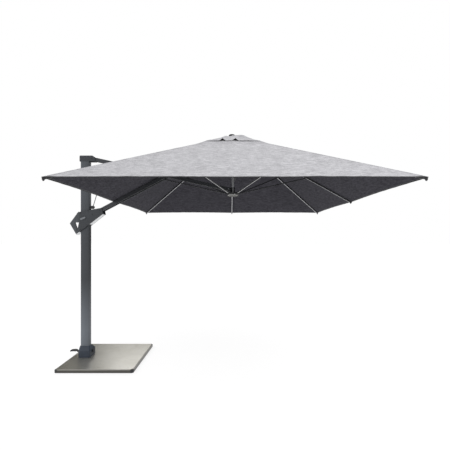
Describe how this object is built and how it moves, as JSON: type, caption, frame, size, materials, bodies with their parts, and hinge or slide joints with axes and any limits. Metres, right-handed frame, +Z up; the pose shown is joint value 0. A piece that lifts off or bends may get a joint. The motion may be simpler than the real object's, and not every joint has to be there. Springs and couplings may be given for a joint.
{
  "type": "cantilever parasol",
  "caption": "Square cantilever parasol: eight-rib canopy with a vent cap hung from a folding boom, sliding carriage on a turning mast, weighted square base.",
  "frame": {"origin": "on the floor, on the axis the mast turns about, at the underside of the foot below the mast", "axes": "+X from the mast towards the canopy, +Z up, +Y to the left seen from behind the mast looking along +X"},
  "size_m": [3.5536, 3.0096, 2.827],
  "materials": {
    "graphite_metal": "satin powder coat",
    "dark_plastic": "fine grain",
    "grey_plastic": "satin",
    "silver_metal": "satin anodised",
    "fastener_steel": "zinc plated",
    "base_metal": "brushed",
    "ballast_stone": "sawn",
    "foot_rubber": "matte",
    "canopy_fabric": "woven polyester",
    "cord": "braided"
  },
  "bodies": {
    "base": {"base_cover": "base_metal", "base_slab": "ballast_stone", "base_corner_caps": "dark_plastic", "base_feet": "foot_rubber", "spigot": "fastener_steel", "spigot_bolts": "fastener_steel"},
    "mast": {"mast_tube": "graphite_metal", "mast_bush": "dark_plastic", "mast_head": "dark_plastic", "boom_pivot_pin": "fastener_steel", "cord_cleat": "dark_plastic", "restraint_cord": "cord", "foot_housing": "dark_plastic", "foot_pin_and_knob": "dark_plastic"},
    "pedal": {"foot_pedal": "dark_plastic"},
    "carriage": {"carriage_cheeks": "dark_plastic", "carriage_glide": "dark_plastic", "carriage_plate": "silver_metal", "carriage_handle": "dark_plastic", "strut_pivot_pin": "fastener_steel"},
    "lever": {"release_lever": "grey_plastic"},
    "boom": {"boom": "graphite_metal", "cord_bracket": "dark_plastic"},
    "lift_strut": {"lift_strut": "graphite_metal", "lift_strut_bolts": "fastener_steel"},
    "hub": {"hub_block": "dark_plastic", "hub_plate": "silver_metal", "hub_pivot_pin": "fastener_steel", "hub_spoke_pins": "fastener_steel", "post_outer": "silver_metal"},
    "post_middle": {"post_middle": "silver_metal"},
    "crown": {"crown_block": "dark_plastic", "crown_spoke_pins": "fastener_steel", "post_inner": "silver_metal", "canopy": "canopy_fabric", "vent_cap": "canopy_fabric"},
    "canopy_strut_1": {"canopy_strut_1": "silver_metal"},
    "rib_1": {"rib_1": "silver_metal", "rib_tip_1": "dark_plastic"},
    "canopy_strut_2": {"canopy_strut_2": "silver_metal"},
    "rib_2": {"rib_2": "silver_metal", "rib_tip_2": "dark_plastic"},
    "canopy_strut_3": {"canopy_strut_3": "silver_metal"},
    "rib_3": {"rib_3": "silver_metal", "rib_tip_3": "dark_plastic"},
    "canopy_strut_4": {"canopy_strut_4": "silver_metal"},
    "rib_4": {"rib_4": "silver_metal", "rib_tip_4": "dark_plastic"},
    "canopy_strut_5": {"canopy_strut_5": "silver_metal"},
    "rib_5": {"rib_5": "silver_metal", "rib_tip_5": "dark_plastic"},
    "canopy_strut_6": {"canopy_strut_6": "silver_metal"},
    "rib_6": {"rib_6": "silver_metal", "rib_tip_6": "dark_plastic"},
    "canopy_strut_7": {"canopy_strut_7": "silver_metal"},
    "rib_7": {"rib_7": "silver_metal", "rib_tip_7": "dark_plastic"},
    "canopy_strut_8": {"canopy_strut_8": "silver_metal"},
    "rib_8": {"rib_8": "silver_metal", "rib_tip_8": "dark_plastic"}
  },
  "joints": [
    {"name": "mast_rotation", "type": "hinge", "parent": "base", "child": "mast", "pos_m": [0, 0, 0.2], "axis": [0, 0, 1], "continuous": true},
    {"name": "pedal_press", "type": "hinge", "parent": "mast", "child": "pedal", "pos_m": [-0.068, 0, 0.072], "axis": [0, 1, 0], "range_deg": [-16, 0], "stiffness_Nm_per_rad": 6, "springref_deg": 11.46},
    {"name": "boom_fold", "type": "hinge", "parent": "mast", "child": "boom", "pos_m": [0.09, 0, 2.515], "axis": [0, 1, 0], "range_deg": [0, 68], "deforming": ["canopy", "vent_cap", "restraint_cord"]},
    {"name": "carriage_slide", "type": "slide", "parent": "mast", "child": "carriage", "axis": [0, 0, 1], "range_m": [-1.29096, 0]},
    {"name": "lever_squeeze", "type": "hinge", "parent": "carriage", "child": "lever", "pos_m": [0.008, 0, 1.773], "axis": [0, 1, 0], "range_deg": [0, 24], "stiffness_Nm_per_rad": 2, "springref_deg": -11.46},
    {"name": "strut_swing", "type": "hinge", "parent": "carriage", "child": "lift_strut", "pos_m": [0.1, 0, 1.8175], "axis": [0, 1, 0], "range_deg": [-54.2, 0]},
    {"name": "hub_level", "type": "hinge", "parent": "boom", "child": "hub", "pos_m": [1.8, 0, 2.135], "axis": [0, 1, 0], "range_deg": [-68.1, 0]},
    {"name": "post_extend", "type": "slide", "parent": "hub", "child": "post_middle", "axis": [0, 0, 1], "range_m": [0, 0.57571]},
    {"name": "strut_1_spread", "type": "hinge", "parent": "hub", "child": "canopy_strut_1", "pos_m": [1.934, 0, 2.083], "axis": [0, 1, 0], "range_deg": [-76.61, 0]},
    {"name": "rib_1_spread", "type": "hinge", "parent": "canopy_strut_1", "child": "rib_1", "pos_m": [2.75934, 0, 2.26961], "axis": [0, 1, 0], "range_deg": [0, 137.05]},
    {"name": "strut_2_spread", "type": "hinge", "parent": "hub", "child": "canopy_strut_2", "pos_m": [1.91057, 0.05657, 2.083], "axis": [-0.7071, 0.7071, 0], "range_deg": [-68.1, 0]},
    {"name": "rib_2_spread", "type": "hinge", "parent": "canopy_strut_2", "child": "rib_2", "pos_m": [2.50369, 0.64969, 2.40922], "axis": [-0.7071, 0.7071, 0], "range_deg": [0, 136.1]},
    {"name": "crown_level", "type": "hinge", "parent": "rib_2", "child": "crown", "pos_m": [1.91057, 0.05657, 2.73543], "axis": [-0.7071, 0.7071, 0], "range_deg": [-68.1, 0]},
    {"name": "strut_3_spread", "type": "hinge", "parent": "hub", "child": "canopy_strut_3", "pos_m": [1.854, 0.08, 2.083], "axis": [-1, 0, 0], "range_deg": [-76.61, 0]},
    {"name": "rib_3_spread", "type": "hinge", "parent": "canopy_strut_3", "child": "rib_3", "pos_m": [1.854, 0.90534, 2.26961], "axis": [-1, 0, 0], "range_deg": [0, 137.05]},
    {"name": "strut_4_spread", "type": "hinge", "parent": "hub", "child": "canopy_strut_4", "pos_m": [1.79743, 0.05657, 2.083], "axis": [-0.7071, -0.7071, 0], "range_deg": [-68.1, 0]},
    {"name": "rib_4_spread", "type": "hinge", "parent": "canopy_strut_4", "child": "rib_4", "pos_m": [1.20431, 0.64969, 2.40922], "axis": [-0.7071, -0.7071, 0], "range_deg": [0, 136.1]},
    {"name": "strut_5_spread", "type": "hinge", "parent": "hub", "child": "canopy_strut_5", "pos_m": [1.774, 0, 2.083], "axis": [0, -1, 0], "range_deg": [-76.61, 0]},
    {"name": "rib_5_spread", "type": "hinge", "parent": "canopy_strut_5", "child": "rib_5", "pos_m": [0.94866, 0, 2.26961], "axis": [0, -1, 0], "range_deg": [0, 137.05]},
    {"name": "strut_6_spread", "type": "hinge", "parent": "hub", "child": "canopy_strut_6", "pos_m": [1.79743, -0.05657, 2.083], "axis": [0.7071, -0.7071, 0], "range_deg": [-68.1, 0]},
    {"name": "rib_6_spread", "type": "hinge", "parent": "canopy_strut_6", "child": "rib_6", "pos_m": [1.20431, -0.64969, 2.40922], "axis": [0.7071, -0.7071, 0], "range_deg": [0, 136.1]},
    {"name": "strut_7_spread", "type": "hinge", "parent": "hub", "child": "canopy_strut_7", "pos_m": [1.854, -0.08, 2.083], "axis": [1, 0, 0], "range_deg": [-76.61, 0]},
    {"name": "rib_7_spread", "type": "hinge", "parent": "canopy_strut_7", "child": "rib_7", "pos_m": [1.854, -0.90534, 2.26961], "axis": [1, 0, 0], "range_deg": [0, 137.05]},
    {"name": "strut_8_spread", "type": "hinge", "parent": "hub", "child": "canopy_strut_8", "pos_m": [1.91057, -0.05657, 2.083], "axis": [0.7071, 0.7071, 0], "range_deg": [-68.1, 0]},
    {"name": "rib_8_spread", "type": "hinge", "parent": "canopy_strut_8", "child": "rib_8", "pos_m": [2.50369, -0.64969, 2.40922], "axis": [0.7071, 0.7071, 0], "range_deg": [0, 136.1]}
  ],
  "couplings": [
    {"joint": "carriage_slide", "follows": "boom_fold", "m_per_rad": -1.0861},
    {"joint": "strut_swing", "follows": "boom_fold", "ratio": -0.79555},
    {"joint": "hub_level", "follows": "boom_fold", "ratio": -1},
    {"joint": "post_extend", "follows": "boom_fold", "m_per_rad": 0.4834},
    {"joint": "strut_1_spread", "follows": "boom_fold", "ratio": -1.1252},
    {"joint": "rib_1_spread", "follows": "boom_fold", "ratio": 2.014},
    {"joint": "strut_2_spread", "follows": "boom_fold", "ratio": -1},
    {"joint": "rib_2_spread", "follows": "boom_fold", "ratio": 2},
    {"joint": "crown_level", "follows": "boom_fold", "ratio": -1},
    {"joint": "strut_3_spread", "follows": "boom_fold", "ratio": -1.1252},
    {"joint": "rib_3_spread", "follows": "boom_fold", "ratio": 2.014},
    {"joint": "strut_4_spread", "follows": "boom_fold", "ratio": -1},
    {"joint": "rib_4_spread", "follows": "boom_fold", "ratio": 2},
    {"joint": "strut_5_spread", "follows": "boom_fold", "ratio": -1.1252},
    {"joint": "rib_5_spread", "follows": "boom_fold", "ratio": 2.014},
    {"joint": "strut_6_spread", "follows": "boom_fold", "ratio": -1},
    {"joint": "rib_6_spread", "follows": "boom_fold", "ratio": 2},
    {"joint": "strut_7_spread", "follows": "boom_fold", "ratio": -1.1252},
    {"joint": "rib_7_spread", "follows": "boom_fold", "ratio": 2.014},
    {"joint": "strut_8_spread", "follows": "boom_fold", "ratio": -1},
    {"joint": "rib_8_spread", "follows": "boom_fold", "ratio": 2}
  ]
}
